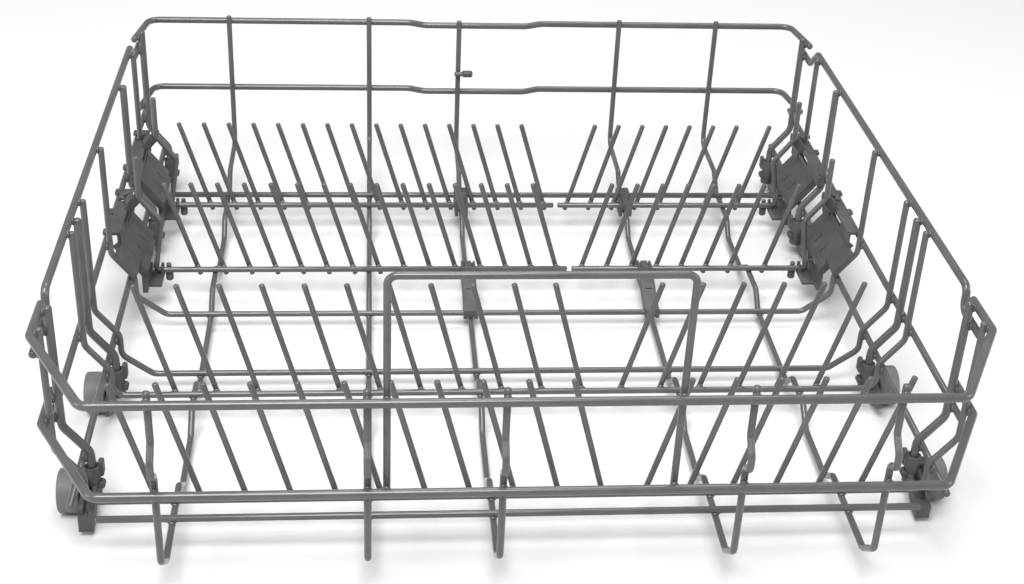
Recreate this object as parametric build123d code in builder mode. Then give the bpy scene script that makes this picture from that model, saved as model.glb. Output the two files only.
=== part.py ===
"""Lower dishwasher basket: welded wire frame, folding tine rows, brackets and rollers.

X runs from left to right, Y from front to rear and Z up from the floor under the rollers.
Depths are measured from the plane of the front rails, half widths from the middle plane.
"""
import os
from math import cos, radians, tan

from build123d import *

os.makedirs("parts", exist_ok=True)

# Wire gauges
heavy_d = 5.0
rim_d = 4.8
rail_d = 4.2
handle_d = 4.0
wire_d = 4.0
tine_d = 3.6

# Rim, belt and wall of the frame
wall_half = 256.9
rim_z = 133.4
belt_z = 77.0
rear_rim_z = 131.5
rear_belt_z = 75.5
post_top_z = 137.3
wall_step = 14.1
step_top_z = 58.5
step_low_z = 40.5
wall_bend = 8.0

# Depth of the basket, bay by bay from the front rails to the rear rails
front_wire_depth = 66.5
tine_bay = 103.9
middle_gap = 39.9
dropped_pitch = 72.3
row_gap = 41.3
row_pitch = 97.5
rear_bay = 100.6

# Wall uprights, each set from its nearest row, wire or rail
front_post_set = 21.6
mid_front_post_set = 16.2
mid_rear_post_set = 39.5
rear_post_set = 38.4
corner_upright_set = 18.3
post_foot_z = 16.0
corner_upright_foot_z = 60.0

# Front rails: straight part, cut corner and side run
front_straight_half = 224.1
front_corner_set = 2.5
front_run_over = 9.5
front_bend = 7.0
front_run_bend = 6.0

# Rear rails: corner, splayed side leg and shallow set-in
rear_corner_set = 3.4
rear_corner_bend = 9.0
rear_leg_gap = 0.1
rear_leg_over = 4.6
set_in_bend = 12.0
set_in = 5.5
set_in_half = 40.0
set_in_slope = 12.0

# Side rails along the top of the walls
side_rail_z = 135.5
side_rail_low_z = 121.0
side_front_set = 2.5
side_front_drop = 18.4
side_rear_drop = 68.0
side_rear_low = 51.0
side_rear_end = 24.0
side_bend = 6.0

# Straight rods along the walls and across the floor
mid_rail_z = 64.0
mid_rail_start = 5.0
mid_rail_end = 12.0
low_rail_z = 36.0
low_rail_start = 24.0
low_rail_end = 21.0
front_rod_half = 233.8
front_rod_set = 16.1
rear_rod_half = 235.5
rear_rod_set = 17.3
rod_chamfer = 0.9

# Long wires: front face, floor with humps, rear wall
long_wire_x = (-192.0, -83.7, -13.3, 114.0, 192.0)
long_top_z = 139.0
long_rear_top_z = 137.3
bump_depth = -3.8
bump_top_z = 108.0
bump_high_z = 100.0
bump_low_z = 91.5
bump_foot_z = 87.5
front_corner_z = 30.5
front_floor_depth = 20.0
hump_z = 17.8
floor_z = 6.8
rear_shelf_z = 29.5
front_dip = (18.5, 33.5, 24.4, 10.4)
middle_dip = (17.6, 30.6, 35.9, 21.9)
rear_dip = (9.1, 28.1, 25.4, 13.4)
rear_rise_start = 70.0
rear_rise_end = 56.0
long_bend = 5.0
rear_long_bend = 10.0

# Floor of the dropped cross wires
drop_top_z = 25.5
drop_half = 221.5

# Handle bow
handle_x = 1.4
handle_half = 75.2
handle_top_z = 204.5
handle_bend = 5.0
handle_foot_drop = 3.5

# Tines
tine_lean = 15.0
tip_chamfer = 0.8
fixed_pitch = 25.4
fixed_first_x = -203.2
fixed_left_count = 11
fixed_right_count = 6
fixed_tip_z = 99.0
fixed_foot_drop = 1.8

# Folding rows
row_rise = 0.35
left_rod_end = 58.2
right_rod_end = 61.0
left_row_lean = 16.6
fold_pitch = 18.15
left_first_x = -204.0
left_count = 15
right_first_x = 68.9
right_count = 7
right_last_x = 203.2
fold_tip_z = 88.7
fold_foot_drop = 6.0

# Arm of a folding row, set inwards from its lever
lever_gap = 0.4
arm_foot_set = 7.6
arm_bend_set = 13.7
arm_bend_z = 60.8
lever_low_z = 79.0
lever_top_z = 110.5
arm_foot_bend = 2.8
arm_bend = 5.0

# Stop peg under each folding row, with its cap
peg_rise = 3.5
peg_drop = 10.0
stop_cap_d = 5.4
stop_cap_top = 2.5
cap_floor = 0.5
cap_clearance = 0.05

# Rear peg with its cap
rear_peg_z = 94.0
rear_peg_start_x = -16.5
rear_peg_end_x = -3.0
rear_cap_start_x = -10.6
rear_cap_d = 5.4
rear_cap_floor = 1.2

# Side brackets: guide plate along the wall's step
bracket_clearance = 0.35
plate_offset = 3.9
plate_start = -7.1
plate_length = 28.9
plate_thickness = 2.2
plate_front = 28.0
plate_rear = 31.0
plate_lip = 6.5
plate_round = 0.9
recess_front = 14.0
recess_rear = 19.0
recess_depth = 4.0
slit_width = 1.2
slit_length = 7.6
slit_start = 6.2
slit_offsets = (-12.0, 2.5)

# Side brackets: web and flange on the mid rail
web_set = 7.3
web_thickness = 2.4
web_low_z = 51.5
web_slot_front = 11.0
web_slot_rear = 12.0
web_slot_low_z = 61.5
flange_front = 30.0
flange_rear = 34.0
flange_overlap = 1.1
flange_thickness = 2.4
hook_reach = 3.5
hook_length = 6.0

# Side brackets: bearing foot, pillar and stop finger
bearing_clearance = 0.08
cheek_set = 5.6
cheek_width = 2.0
cheek_half_depth = 3.4
foot_outer_set = 6.3
foot_wall = 4.1
foot_front = 16.0
foot_rear = 4.5
foot_low_z = 17.4
foot_floor_z = 19.8
foot_top_z = 26.4
foot_snap_width = 3.0
pillar_front = 24.0
pillar_rear = 12.0
pillar_width = 3.5
pillar_top_z = 41.5
finger_gap = 0.8
finger_thickness = 2.6
finger_low_z = 76.0
finger_top_z = 82.0

# Side brackets: ledge on a cross wire and lug on a post
ledge_front = 45.0
ledge_depth = 4.2
ledge_start = 1.0
ledge_end = 20.0
post_lug_low_z = 61.0
post_lug_overlap = 4.0

# Hinge clips
clip_width = 10.0
clip_edge = 4.4
clip_low_z = 14.5
clip_top_z = 26.4
clip_front_top_z = 23.2
clip_nose_z = 15.2
clip_nose_low_z = 8.4
clip_snap_width = 3.0
clip_slot_width = 1.2
clip_slot_z = 24.9
clip_slot_offset = 2.9
clip_ramp = 14.0
clip_foot_ramp = 20.0

# Rollers on their stub axles
roller_d = 26.0
roller_width = 13.0
roller_set = 4.2
roller_fillet = 1.2
roller_dish_d = 19.0
roller_dish_depth = 2.8
axle_d = 8.0
axle_clearance = 0.08
head_d = 10.4
head_gap = 0.3
head_thickness = 1.6

# Roller holders
holder_gap = 1.0
holder_cheek = 2.8
socket_d = 8.8
socket_top_z = 30.5
socket_low_z = 11.0
boss_r = 8.5
lobe_r = 5.5
lobe_reach = 17.0
lobe_z = 13.0
latch_width = 3.4
latch_gap = 0.5
latch_front = 0.5
latch_thickness = 5.0
latch_low_z = 23.0
latch_top_z = 33.0
knob_r = 2.2
knob_z = 18.5
knob_front = 3.5
guide_reach = 26.0
guide_thickness = 6.0
guide_width = 8.4
guide_low_z = 3.4
guide_top_z = 12.8
guide_arm_width = 3.0
guide_arm_z = 19.0

# Positions that follow from the sizes above
tine_wire_depth = front_wire_depth + tine_bay
middle_wire_depth = tine_wire_depth + middle_gap
rear_wire_depth = middle_wire_depth + dropped_pitch
middle_row_depth = rear_wire_depth + row_gap
rear_row_depth = middle_row_depth + row_pitch
rail_depth = rear_row_depth + rear_bay
front_post_depth = front_wire_depth + front_post_set
mid_front_post_depth = tine_wire_depth + mid_front_post_set
mid_rear_post_depth = rear_row_depth - mid_rear_post_set
rear_post_depth = rail_depth - rear_post_set
front_rod_depth = front_wire_depth - front_rod_set
rear_rod_depth = rear_row_depth + rear_rod_set
front_y = ((wire_d / 2 - bump_depth) - (rail_depth + rim_d / 2)) / 2
low_half = wall_half - wall_step
rail_half = wall_half + rail_d / 2
rim_half = wall_half + rim_d / 2
front_run_half = wall_half + heavy_d / 2
raised_z = hump_z + wire_d
dropped_z = floor_z + wire_d
row_z = raised_z + row_rise
floor_rod_z = hump_z + (wire_d + rail_d) / 2
weld_offset = (wire_d + tine_d) / 2
axle_z = roller_d / 2
flange_z = mid_rail_z + rail_d / 2
middle_rise_start = middle_row_depth - middle_dip[2]
middle_rise_end = middle_row_depth - middle_dip[3]
lever_half = low_half - wire_d / 2 - lever_gap
arm_foot_half = lever_half - arm_foot_set
arm_bend_half = lever_half - arm_bend_set
cheek_half = arm_foot_half - cheek_set
peg_half = cheek_half - stop_cap_d / 2 - bracket_clearance
web_half = wall_half - web_set
roller_inner_half = low_half + roller_set
holder_outer_half = roller_inner_half - holder_gap
post_low_half = low_half - heavy_d / 2
step_run = Vector(wall_step, 0, step_top_z - step_low_z).normalized()
step_inward = Vector(-step_run.Z, 0, step_run.X)
step_start = Vector(low_half - wire_d / 2, 0, step_low_z)


def bent_wire(points, diameter, bend):
    """A round wire bent along the points."""
    with BuildPart() as rod:
        with BuildLine() as path:
            FilletPolyline(*points, radius=bend)
        with BuildSketch(Plane(origin=path.line @ 0, z_dir=path.line % 0)):
            Circle(diameter / 2)
        sweep()
    return rod.part


def straight_rod(start, end, diameter, end_chamfer):
    """A straight round rod with both ends chamfered."""
    way = Vector(*end) - Vector(*start)
    with BuildPart() as rod:
        with BuildSketch(Plane(origin=start, z_dir=way)):
            Circle(diameter / 2)
        extrude(amount=way.length)
        chamfer(rod.edges().filter_by(GeomType.CIRCLE), end_chamfer)
    return rod.part


def block(x_span, y_span, z_span):
    """A plain block between two limits on each axis."""
    with BuildPart() as body:
        with BuildSketch(Plane.XY.offset(z_span[0])):
            with Locations(((x_span[0] + x_span[1]) / 2, (y_span[0] + y_span[1]) / 2)):
                Rectangle(x_span[1] - x_span[0], y_span[1] - y_span[0])
        extrude(amount=z_span[1] - z_span[0])
    return body.part


def cross_bar(x_span, y, z, radius):
    """A round bar along X, used for bores and axles."""
    with BuildPart() as bar:
        with BuildSketch(Plane.YZ.offset(x_span[0])):
            with Locations((y, z)):
                Circle(radius)
        extrude(amount=x_span[1] - x_span[0])
    return bar.part


def side_panel(x_span, outline):
    """A flat panel with its outline in the YZ plane, given thickness along X."""
    with BuildPart() as panel:
        with BuildSketch(Plane.YZ.offset(x_span[0])):
            Polygon(*outline, align=None)
        extrude(amount=x_span[1] - x_span[0])
    return panel.part


def cross_panel(y_span, outline):
    """A flat panel with its outline in the XZ plane, given thickness along Y."""
    with BuildPart() as panel:
        with BuildSketch(Plane.XZ.offset(-y_span[1])):
            Polygon(*outline, align=None)
        extrude(amount=y_span[1] - y_span[0])
    return panel.part


def front_rail(z):
    """A front rail with cut plan corners and a short run along each side."""
    right = [
        (front_straight_half, front_y, z),
        (front_run_half, front_y + front_wire_depth - front_corner_set, z),
        (front_run_half, front_y + front_post_depth + front_run_over, z),
    ]
    left = [(-x, y, height) for x, y, height in reversed(right)]
    bends = [front_run_bend, front_bend, front_bend, front_run_bend]
    return bent_wire(left + right, heavy_d, bends)


def rear_rail(z):
    """A rear rail with the set-in middle and a leg at each end, splayed past its post."""
    y = front_y + rail_depth
    corner_half = wall_half - rear_corner_set
    splay = (rim_half + rear_leg_gap - corner_half) / rear_post_set
    leg = rear_post_set + rear_leg_over
    right = [
        (set_in_half, y - set_in, z),
        (set_in_half + set_in_slope, y, z),
        (corner_half, y, z),
        (corner_half + splay * leg, y - leg, z),
    ]
    left = [(-x, depth, height) for x, depth, height in reversed(right)]
    bends = [rear_corner_bend] + [set_in_bend] * 4 + [rear_corner_bend]
    return bent_wire(left + right, rim_d, bends)


def side_rail(side):
    """A side rail, joggled down at the front and at the rear."""
    steps = [
        (front_wire_depth - side_front_set, side_rail_low_z),
        (front_post_depth + side_front_drop, side_rail_low_z),
        (front_post_depth + side_front_drop, side_rail_z),
        (rail_depth - side_rear_drop, side_rail_z),
        (rail_depth - side_rear_low, side_rail_low_z),
        (rail_depth - side_rear_end, side_rail_low_z),
    ]
    points = [(side * rim_half, front_y + depth, z) for depth, z in steps]
    return bent_wire(points, rim_d, side_bend)


def wall_profile(diameter):
    """The wall's upper part and its step, as half width and height, for one gauge."""
    return [
        (wall_half - diameter / 2, post_top_z),
        (wall_half - diameter / 2, step_top_z),
        (low_half - diameter / 2, step_low_z),
    ]


def cross_wire(depth, floor_part):
    """A wire that forms both walls and the floor at one depth."""
    right = [(x, front_y + depth, z) for x, z in wall_profile(wire_d) + floor_part]
    left = [(-x, y, z) for x, y, z in right]
    return bent_wire(left + right[::-1], wire_d, wall_bend)


def roller_posts(depth):
    """The left and right heavy posts that carry a pair of rollers."""
    profile = wall_profile(heavy_d) + [(post_low_half, post_foot_z)]
    right = bent_wire([(x, front_y + depth, z) for x, z in profile], heavy_d, wall_bend)
    return [right, mirror(right, about=Plane.YZ)]


def long_wire(x, rear_offset):
    """A wire that forms the front face, the humped floor and the rear wall."""
    front = heavy_d / 2 + wire_d / 2
    rear = rail_depth - rim_d / 2 - wire_d / 2 - rear_offset
    steps = [
        (front, long_top_z),
        (front, bump_top_z),
        (bump_depth, bump_high_z),
        (bump_depth, bump_low_z),
        (front, bump_foot_z),
        (front, front_corner_z),
        (front_floor_depth, hump_z),
    ]
    bays = (
        (front_wire_depth, front_dip, tine_wire_depth),
        (tine_wire_depth, middle_dip, middle_row_depth),
        (middle_row_depth, rear_dip, rear_row_depth),
    )
    for start, dip, end in bays:
        steps += [
            (start + dip[0], hump_z),
            (start + dip[1], floor_z),
            (end - dip[2], floor_z),
            (end - dip[3], hump_z),
        ]
    steps += [
        (rail_depth - rear_rise_start, hump_z),
        (rail_depth - rear_rise_end, rear_shelf_z),
        (rear, rear_shelf_z),
        (rear, long_rear_top_z),
    ]
    bends = [long_bend] * (len(steps) - 3) + [rear_long_bend]
    return bent_wire([(x, front_y + depth, z) for depth, z in steps], wire_d, bends)


def tine(base_x, base_z, y, foot_z, tip_z, lean):
    """A straight tine that leans along X by an angle, with a chamfered tip."""
    slope = tan(radians(lean))
    foot_x = base_x - slope * (base_z - foot_z)
    with BuildPart() as pin:
        with BuildSketch(Plane(origin=(foot_x, y, foot_z), z_dir=(slope, 0, 1))):
            Circle(tine_d / 2)
        extrude(amount=(tip_z - foot_z) / cos(radians(lean)))
        chamfer(pin.edges().sort_by(Axis.Z)[-1], tip_chamfer)
    return pin.part


def fixed_row(depth):
    """The tines welded behind a raised cross wire, leaning left and right."""
    y = front_y + depth + weld_offset
    foot_z = raised_z - fixed_foot_drop
    tines = []
    for index in range(fixed_left_count + fixed_right_count):
        lean = -tine_lean if index < fixed_left_count else tine_lean
        x = fixed_first_x + fixed_pitch * index
        tines.append(tine(x, raised_z, y, foot_z, fixed_tip_z, lean))
    return tines


def folding_row(depth, side):
    """A folding row: rod with its bent arm, tines and the stop peg."""
    y = front_y + depth
    inner_x = left_rod_end if side < 0 else right_rod_end
    path = [
        (inner_x, y, row_z),
        (side * arm_foot_half, y, row_z),
        (side * arm_bend_half, y, arm_bend_z),
        (side * lever_half, y, lever_low_z),
        (side * lever_half, y, lever_top_z),
    ]
    solids = [bent_wire(path, wire_d, [arm_foot_bend, arm_bend, arm_bend])]
    if side < 0:
        lean = -left_row_lean
        bases = [left_first_x + fold_pitch * index for index in range(left_count)]
    else:
        lean = tine_lean
        bases = [right_first_x + fold_pitch * index for index in range(right_count)]
        bases.append(right_last_x)
    for base in bases:
        solids.append(tine(base, row_z, y + weld_offset, row_z - fold_foot_drop, fold_tip_z, lean))
    peg_y = y + weld_offset
    peg_foot = (side * peg_half, peg_y, row_z - peg_drop)
    peg_top = (side * peg_half, peg_y, row_z + peg_rise)
    solids.append(straight_rod(peg_foot, peg_top, tine_d, tip_chamfer / 2))
    return solids


def stop_cap(depth, side):
    """The plastic cap on a stop peg."""
    y = front_y + depth + weld_offset
    low_z = row_z - peg_drop - cap_floor
    with BuildPart() as cap:
        with BuildSketch(Plane(origin=(side * peg_half, y, low_z))):
            Circle(stop_cap_d / 2)
        extrude(amount=row_z - stop_cap_top - low_z)
        chamfer(cap.edges().filter_by(GeomType.CIRCLE).sort_by(Axis.Z)[0], tip_chamfer)
        with BuildSketch(Plane(origin=(side * peg_half, y, low_z + cap_floor))):
            Circle(tine_d / 2 + cap_clearance)
        extrude(amount=peg_drop, mode=Mode.SUBTRACT)
    return cap.part


def side_bracket(depth):
    """The right bracket of one row: guide plate, rail flange, bearing foot and stop finger."""
    y = front_y + depth
    corner = step_start + step_run * plate_start + step_inward * plate_offset
    base = Plane(origin=corner + Vector(0, y, 0), x_dir=(0, 1, 0), z_dir=step_run)
    foot_outer = arm_foot_half + foot_outer_set
    flange_half = rail_half - flange_overlap
    flange_span = (flange_z, flange_z + flange_thickness)
    with BuildPart() as bracket:
        # Guide plate with a front lip and the rounded step down to its recessed rear part
        with BuildSketch(base) as section:
            with BuildLine():
                Polyline(
                    (-plate_front, 0),
                    (recess_front, 0),
                    (recess_rear, -recess_depth),
                    (plate_rear, -recess_depth),
                    (plate_rear, -recess_depth - plate_thickness),
                    (recess_rear - plate_thickness / 2, -recess_depth - plate_thickness),
                    (recess_front - plate_thickness / 2, -plate_thickness),
                    (plate_thickness - plate_front, -plate_thickness),
                    (plate_thickness - plate_front, -plate_lip),
                    (-plate_front, -plate_lip),
                    close=True,
                )
            make_face()
            fillet(section.vertices(), plate_round)
        extrude(amount=plate_length)
        with BuildSketch(base.offset(slit_start)):
            with Locations(*[(offset, 0) for offset in slit_offsets]):
                Rectangle(slit_width, 3 * plate_thickness)
        extrude(amount=slit_length, mode=Mode.SUBTRACT)
        # Web with its slot, and the flange on the mid rail with hooks over it
        add(block(
            (web_half, web_half + web_thickness),
            (y - flange_front, y + flange_rear),
            (web_low_z, flange_span[1]),
        ))
        add(
            block(
                (web_half, web_half + web_thickness),
                (y - web_slot_front, y + web_slot_rear),
                (web_slot_low_z, flange_span[0]),
            ),
            mode=Mode.SUBTRACT,
        )
        add(block((web_half, flange_half), (y - flange_front, y + flange_rear), flange_span))
        hook_step = (flange_front + flange_rear - hook_length) / 2
        for index in range(3):
            hook_y = y - flange_front + hook_step * index
            hook_span = (web_half + web_thickness, flange_half + hook_reach)
            add(block(hook_span, (hook_y, hook_y + hook_length), flange_span))
        # Notch in the flange for an upright
        upright_half = wall_half - wire_d / 2
        notch = wire_d / 2 + bracket_clearance
        notch_y = y + corner_upright_set
        with BuildSketch(Plane(origin=(upright_half, notch_y, flange_span[0]))):
            Circle(notch)
            with Locations((notch, 0)):
                Rectangle(2 * notch, 2 * notch)
        extrude(amount=flange_thickness, mode=Mode.SUBTRACT)
        # Foot below the arm, with the rod's bearing cheek at the inside and a wall at the outside
        foot_y = (y - foot_front, y + foot_rear)
        add(block((cheek_half, foot_outer), foot_y, (foot_low_z, foot_floor_z)))
        add(block((foot_outer - foot_wall, foot_outer), foot_y, (foot_low_z, foot_top_z)))
        cheek_span = (cheek_half, cheek_half + cheek_width)
        cheek_y = (y - cheek_half_depth, y + cheek_half_depth)
        add(block(cheek_span, cheek_y, (foot_low_z, foot_top_z)))
        bore_r = wire_d / 2 + bearing_clearance
        add(cross_bar(cheek_span, y, row_z, bore_r), mode=Mode.SUBTRACT)
        snap_y = (y - foot_snap_width / 2, y + foot_snap_width / 2)
        add(block(cheek_span, snap_y, (row_z, foot_top_z)), mode=Mode.SUBTRACT)
        # Pillar from the guide plate down to the foot
        add(block(
            (foot_outer - pillar_width, foot_outer),
            (y - pillar_front, y - pillar_rear),
            (foot_low_z, pillar_top_z),
        ))
        # Finger behind the lever
        finger_y = y + wire_d / 2 + finger_gap
        add(cross_panel(
            (finger_y, finger_y + finger_thickness),
            [
                (web_half + web_thickness, flange_span[0]),
                (web_half + web_thickness, flange_span[1]),
                (lever_half + wire_d / 2, finger_top_z),
                (lever_half - wire_d / 2, finger_top_z),
                (lever_half - wire_d / 2, finger_low_z),
                (web_half - web_thickness, flange_span[0]),
            ],
        ))
    return bracket.part


def ledge(depth, wire_depth):
    """The channel at a bracket's front that sits on the slant of a cross wire."""
    y = front_y + depth
    corners = [
        step_start + step_run * ledge_start,
        step_start + step_run * ledge_end,
        step_start + step_run * ledge_end + step_inward * ledge_depth,
        step_start + step_run * ledge_start + step_inward * ledge_depth,
    ]
    with BuildPart() as channel:
        add(cross_panel(
            (y - ledge_front, y - plate_front + plate_thickness),
            [(corner.X, corner.Z) for corner in corners],
        ))
        wire_start = step_start + Vector(0, front_y + wire_depth, 0)
        with BuildSketch(Plane(origin=wire_start, z_dir=step_run)):
            Circle(wire_d / 2 + bracket_clearance)
        extrude(amount=2 * ledge_end, mode=Mode.SUBTRACT)
    return channel.part


def post_lug(depth, post_depth):
    """The lug at a bracket's front that clips round a heavy post."""
    post_half = wall_half - heavy_d / 2
    post_y = front_y + post_depth
    with BuildPart() as lug:
        add(block(
            (web_half, post_half),
            (post_y - post_lug_overlap, front_y + depth - flange_front + web_thickness),
            (post_lug_low_z, flange_z + flange_thickness),
        ))
        with BuildSketch(Plane(origin=(post_half, post_y, post_lug_low_z))):
            Circle(heavy_d / 2 + bracket_clearance)
        extrude(amount=flange_z + flange_thickness - post_lug_low_z, mode=Mode.SUBTRACT)
    return lug.part


def hinge_clip(x, depth, held_depth, held_z, held_d, outline, groove):
    """A clip that straddles a long wire, snaps on a cross rod and bears a folding rod."""
    y = front_y + depth
    held_y = front_y + held_depth
    span = (x - clip_width / 2, x + clip_width / 2)
    gap = wire_d / 2 + bracket_clearance
    snap = clip_snap_width / 2
    with BuildPart() as clip:
        add(side_panel(span, [(front_y + place, z) for place, z in outline]))
        add(
            side_panel((x - gap, x + gap), [(front_y + place, z) for place, z in groove]),
            mode=Mode.SUBTRACT,
        )
        add(cross_bar(span, y, row_z, wire_d / 2 + bearing_clearance), mode=Mode.SUBTRACT)
        add(block(span, (y - snap, y + snap), (0, row_z)), mode=Mode.SUBTRACT)
        add(cross_bar(span, held_y, held_z, held_d / 2 + bracket_clearance), mode=Mode.SUBTRACT)
        add(block(span, (held_y - snap, held_y + snap), (0, held_z)), mode=Mode.SUBTRACT)
        for offset in (-clip_slot_offset, clip_slot_offset):
            slot = (x + offset - clip_slot_width / 2, x + offset + clip_slot_width / 2)
            add(
                block(slot, (y - clip_edge, y + clip_edge), (clip_slot_z, clip_top_z)),
                mode=Mode.SUBTRACT,
            )
    return clip.part


def rear_clip(x):
    """The clip of the rear row, which also holds the rear floor rod."""
    row, held = rear_row_depth, rear_rod_depth
    outline = [
        (row - clip_edge, clip_low_z),
        (row - clip_edge, clip_top_z),
        (row + clip_edge, clip_top_z),
        (row + clip_edge + clip_slot_width, clip_front_top_z),
        (held - clip_edge - clip_slot_width, clip_front_top_z),
        (held - clip_edge, clip_top_z),
        (held + clip_edge, clip_top_z),
        (held + clip_edge, clip_low_z),
    ]
    top = hump_z + wire_d / 2
    groove = [
        (row - 2 * clip_edge, 0),
        (row - 2 * clip_edge, top),
        (held + 2 * clip_edge, top),
        (held + 2 * clip_edge, 0),
    ]
    return hinge_clip(x, row, held, floor_rod_z, rail_d, outline, groove)


def middle_clip(x):
    """The clip of the middle row, which also holds the cross wire in front of it."""
    row, held = middle_row_depth, rear_wire_depth
    outline = [
        (row + clip_edge, clip_low_z),
        (row + clip_edge, clip_top_z),
        (row - clip_edge, clip_top_z),
        (row - clip_edge - clip_slot_width, clip_front_top_z),
        (row - clip_ramp, clip_front_top_z),
        (held + clip_edge, clip_nose_z),
        (held - clip_edge, clip_nose_z),
        (held - clip_edge, clip_nose_low_z),
        (held + clip_edge, clip_nose_low_z),
        (row - clip_foot_ramp, clip_low_z),
    ]
    top = hump_z + wire_d / 2
    low_top = floor_z + wire_d / 2 + 2 * bracket_clearance
    groove = [
        (held - 2 * clip_edge, 0),
        (held - 2 * clip_edge, low_top),
        (middle_rise_start - wire_d / 2, low_top),
        (middle_rise_end - wire_d / 2, top),
        (row + 2 * clip_edge, top),
        (row + 2 * clip_edge, 0),
    ]
    return hinge_clip(x, row, held, dropped_z, wire_d, outline, groove)


def roller_holder(depth, has_guide):
    """A right holder: socket on the post, cheek with a front lobe and the roller's stub axle."""
    y = front_y + depth
    head_half = roller_inner_half + roller_width - roller_dish_depth + head_gap
    latch_half = post_low_half - heavy_d / 2 - latch_gap - latch_width / 2
    guide_half = holder_outer_half - guide_width
    with BuildPart() as holder:
        # Socket, with the cheek between it and the roller
        with BuildSketch(Plane(origin=(post_low_half, y, socket_low_z))):
            Circle(socket_d / 2)
        extrude(amount=socket_top_z - socket_low_z)
        with BuildSketch(Plane.YZ.offset(holder_outer_half - holder_cheek)):
            with Locations((y, axle_z)):
                Circle(boss_r)
            with Locations((y - lobe_reach, lobe_z)):
                Circle(lobe_r)
            make_hull()
        extrude(amount=holder_cheek)
        # Latch tab and release knob at the inner side
        with BuildSketch(Plane.XZ.offset(latch_front - latch_thickness - y)):
            with Locations((latch_half, (latch_low_z + latch_top_z) / 2)):
                SlotOverall(latch_top_z - latch_low_z, latch_width, rotation=90)
        extrude(amount=latch_thickness)
        with BuildSketch(Plane.XZ.offset(knob_front - latch_thickness - y)):
            with Locations((latch_half, knob_z)):
                Circle(knob_r)
        extrude(amount=latch_thickness)
        # Guide block in front of the roller, on its own arm
        if has_guide:
            guide_y = y - guide_reach
            add(block(
                (guide_half, holder_outer_half),
                (guide_y, guide_y + guide_thickness),
                (guide_low_z, guide_top_z),
            ))
            add(side_panel(
                (guide_half, guide_half + guide_arm_width),
                [
                    (guide_y, guide_low_z),
                    (guide_y, guide_top_z),
                    (y - socket_d / 4, guide_arm_z),
                    (y - socket_d / 4, guide_top_z),
                    (guide_y + guide_thickness, guide_low_z),
                ],
            ))
        # Bore for the post
        with BuildSketch(Plane(origin=(post_low_half, y, post_foot_z))):
            Circle(heavy_d / 2 + bracket_clearance)
        extrude(amount=latch_top_z - post_foot_z, mode=Mode.SUBTRACT)
        # Stub axle with its head
        add(cross_bar((holder_outer_half, head_half), y, axle_z, axle_d / 2))
        add(cross_bar((head_half, head_half + head_thickness), y, axle_z, head_d / 2))
    return [holder.part, mirror(holder.part, about=Plane.YZ)]


def roller(depth):
    """A right roller with a dished outer face, free on the holder's stub axle."""
    y = front_y + depth
    with BuildPart() as wheel:
        add(cross_bar((roller_inner_half, roller_inner_half + roller_width), y, axle_z, roller_d / 2))
        fillet(wheel.edges().filter_by(GeomType.CIRCLE), roller_fillet)
        outer = roller_inner_half + roller_width
        dish_span = (outer - roller_dish_depth, outer)
        add(cross_bar(dish_span, y, axle_z, roller_dish_d / 2), mode=Mode.SUBTRACT)
        bore_span = (roller_inner_half, outer)
        add(cross_bar(bore_span, y, axle_z, axle_d / 2 + axle_clearance), mode=Mode.SUBTRACT)
    return wheel.part


with BuildPart() as front_top_rail:
    add(front_rail(rim_z))

with BuildPart() as front_lower_rail:
    add(front_rail(belt_z))

with BuildPart() as handle_bow:
    handle_y = front_y + (heavy_d + handle_d) / 2
    handle_foot_z = belt_z - handle_foot_drop
    add(bent_wire(
        [
            (handle_x - handle_half, handle_y, handle_foot_z),
            (handle_x - handle_half, handle_y, handle_top_z),
            (handle_x + handle_half, handle_y, handle_top_z),
            (handle_x + handle_half, handle_y, handle_foot_z),
        ],
        handle_d,
        handle_bend,
    ))

with BuildPart() as rear_top_rail:
    add(rear_rail(rear_rim_z))

with BuildPart() as rear_lower_rail:
    add(rear_rail(rear_belt_z))

with BuildPart() as side_rail_left:
    add(side_rail(-1))

with BuildPart() as side_rail_right:
    add(side_rail(1))

with BuildPart() as mid_rail_right:
    add(straight_rod(
        (rail_half, front_y + front_wire_depth + mid_rail_start, mid_rail_z),
        (rail_half, front_y + rail_depth - mid_rail_end, mid_rail_z),
        rail_d,
        rod_chamfer,
    ))

with BuildPart() as mid_rail_left:
    add(mirror(mid_rail_right.part, about=Plane.YZ))

with BuildPart() as low_rail_right:
    add(straight_rod(
        (low_half + rail_d / 2, front_y + front_wire_depth - low_rail_start, low_rail_z),
        (low_half + rail_d / 2, front_y + rail_depth - low_rail_end, low_rail_z),
        rail_d,
        rod_chamfer,
    ))

with BuildPart() as low_rail_left:
    add(mirror(low_rail_right.part, about=Plane.YZ))

with BuildPart() as long_wire_1:
    add(long_wire(long_wire_x[0], 0))

with BuildPart() as long_wire_2:
    add(long_wire(long_wire_x[1], 0))

with BuildPart() as long_wire_3:
    add(long_wire(long_wire_x[2], set_in))

with BuildPart() as long_wire_4:
    add(long_wire(long_wire_x[3], 0))

with BuildPart() as long_wire_5:
    add(long_wire(long_wire_x[4], 0))

with BuildPart() as rear_floor_rod:
    add(straight_rod(
        (-rear_rod_half, front_y + rear_rod_depth, floor_rod_z),
        (rear_rod_half, front_y + rear_rod_depth, floor_rod_z),
        rail_d,
        rod_chamfer,
    ))

with BuildPart() as front_floor_rod:
    add(straight_rod(
        (-front_rod_half, front_y + front_rod_depth, floor_rod_z),
        (front_rod_half, front_y + front_rod_depth, floor_rod_z),
        rail_d,
        rod_chamfer,
    ))

dropped_floor = [(low_half - wire_d / 2, drop_top_z), (drop_half, dropped_z)]
raised_floor = [(low_half - wire_d / 2, raised_z)]

with BuildPart() as cross_wire_rear:
    add(cross_wire(rear_wire_depth, dropped_floor))

with BuildPart() as cross_wire_middle:
    add(cross_wire(middle_wire_depth, dropped_floor))

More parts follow.
